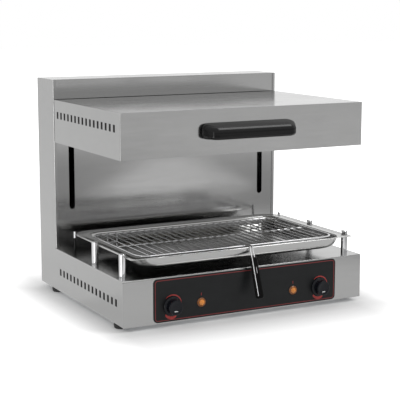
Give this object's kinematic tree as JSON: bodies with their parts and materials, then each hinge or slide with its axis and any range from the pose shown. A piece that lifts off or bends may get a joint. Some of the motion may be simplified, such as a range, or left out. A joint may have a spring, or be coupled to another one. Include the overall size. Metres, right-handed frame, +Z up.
{
  "type": "lift-hood salamander grill",
  "caption": "Countertop salamander grill: a vented hood with heating tubes rises and falls on a rear column over a wire rack and drip pan, with knobs on the base.",
  "frame": {"origin": "middle of the overall outline, on the surface the feet stand on", "axes": "+X to the cook's right, +Y to the back, +Z up"},
  "size_m": [0.6, 0.5426, 0.507],
  "materials": {
    "stainless": "fine brushed",
    "galvanised": "dull zinc",
    "zinc": "bright zinc",
    "chrome": "polished",
    "rubber": "matt",
    "black_enamel": "satin black",
    "black_plastic": "satin",
    "lamp_black": "satin",
    "amber": "clear gloss",
    "ceramic": "glazed",
    "bright_tray": "bright",
    "mineral_wool": "fibrous",
    "tube_sheath": "oxidised",
    "carriage_alloy": "sawn and milled",
    "bronze": "turned"
  },
  "bodies": {
    "cabinet": {"side_panel_left": "stainless", "side_panel_right": "stainless", "base_front_panel": "stainless", "base_deck": "stainless", "bottom_plate": "galvanised", "column_front_panel": "stainless", "column_top_cap": "stainless", "back_cover": "stainless", "back_cover_screws": "zinc", "feet": "rubber", "foot_screws": "zinc", "control_panel": "black_enamel", "pilot_lamp_bodies": "lamp_black", "pilot_lamp_lenses": "amber", "energy_regulators": "galvanised", "terminal_block": "ceramic", "cable_gland": "rubber", "gland_nut": "rubber", "rack_posts": "chrome", "stop_pins": "chrome", "post_nuts": "zinc", "guide_rods": "chrome", "rod_brackets": "galvanised", "strut_cylinders": "black_enamel"},
    "hood": {"hood_shell": "stainless", "hood_back_plate": "stainless", "reflector": "bright_tray", "insulation": "mineral_wool", "heating_element_left": "tube_sheath", "heating_element_right": "tube_sheath", "element_straps": "galvanised", "element_terminals": "ceramic", "hood_handle": "black_plastic", "handle_screws": "zinc", "hood_arms": "galvanised", "arm_bolts": "zinc", "carriages": "carriage_alloy", "carriage_bushes": "bronze", "lift_crossbar": "galvanised", "strut_rods": "chrome"},
    "knob_left": {"knob_left": "black_plastic", "regulator_shaft_left": "zinc"},
    "knob_right": {"knob_right": "black_plastic", "regulator_shaft_right": "zinc"},
    "pan": {"drip_pan": "stainless"},
    "rack": {"wire_rack": "chrome"},
    "lifter": {"lifter_wires": "chrome", "lifter_grip": "black_plastic"}
  },
  "joints": [
    {"name": "hood_slide", "type": "slide", "parent": "cabinet", "child": "hood", "axis": [0, 0, 1], "range_m": [-0.158, 0.008]},
    {"name": "knob_left_turn", "type": "hinge", "parent": "cabinet", "child": "knob_left", "pos_m": [-0.186, -0.22973, 0.046], "axis": [0, 1, 0], "range_deg": [0, 300]},
    {"name": "knob_right_turn", "type": "hinge", "parent": "cabinet", "child": "knob_right", "pos_m": [0.186, -0.22973, 0.046], "axis": [0, 1, 0], "range_deg": [0, 300]},
    {"name": "pan_slide", "type": "slide", "parent": "cabinet", "child": "pan", "axis": [0, -1, 0], "range_m": [0, 0.25]},
    {"name": "rack_lift", "type": "slide", "parent": "pan", "child": "rack", "axis": [0, 0, 1], "range_m": [0, 0.025]},
    {"name": "lifter_tilt", "type": "hinge", "parent": "rack", "child": "lifter", "pos_m": [0, -0.19973, 0.1515], "axis": [-1, 0, 0], "range_deg": [0, 45]}
  ]
}
